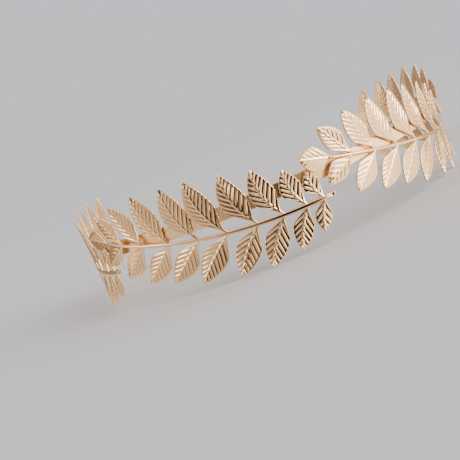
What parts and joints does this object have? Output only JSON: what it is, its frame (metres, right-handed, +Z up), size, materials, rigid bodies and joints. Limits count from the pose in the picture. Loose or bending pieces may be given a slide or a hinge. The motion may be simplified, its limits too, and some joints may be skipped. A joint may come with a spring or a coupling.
{
  "type": "leaf tiara",
  "caption": "Open gold headband whose outer face is covered by stamped leaf branches laid end to end, worn round the head or over the hair.",
  "frame": {"origin": "on the axis of the ring, at the level of the lowest leaf tips, where the tiara stands", "axes": "+Z up along the ring's axis, -Y towards the front centre, +X to the right as seen from the front, +Y towards the open back"},
  "size_m": [0.1442, 0.1203, 0.0373],
  "materials": {
    "strip": "polished, gold plated",
    "leaf": "polished, gold plated, pressed ribs"
  },
  "bodies": {
    "root": {"headband": "strip", "left_rear_branch": "leaf", "left_front_branch": "leaf", "right_front_branch": "leaf", "right_rear_branch": "leaf"}
  },
  "joints": []
}
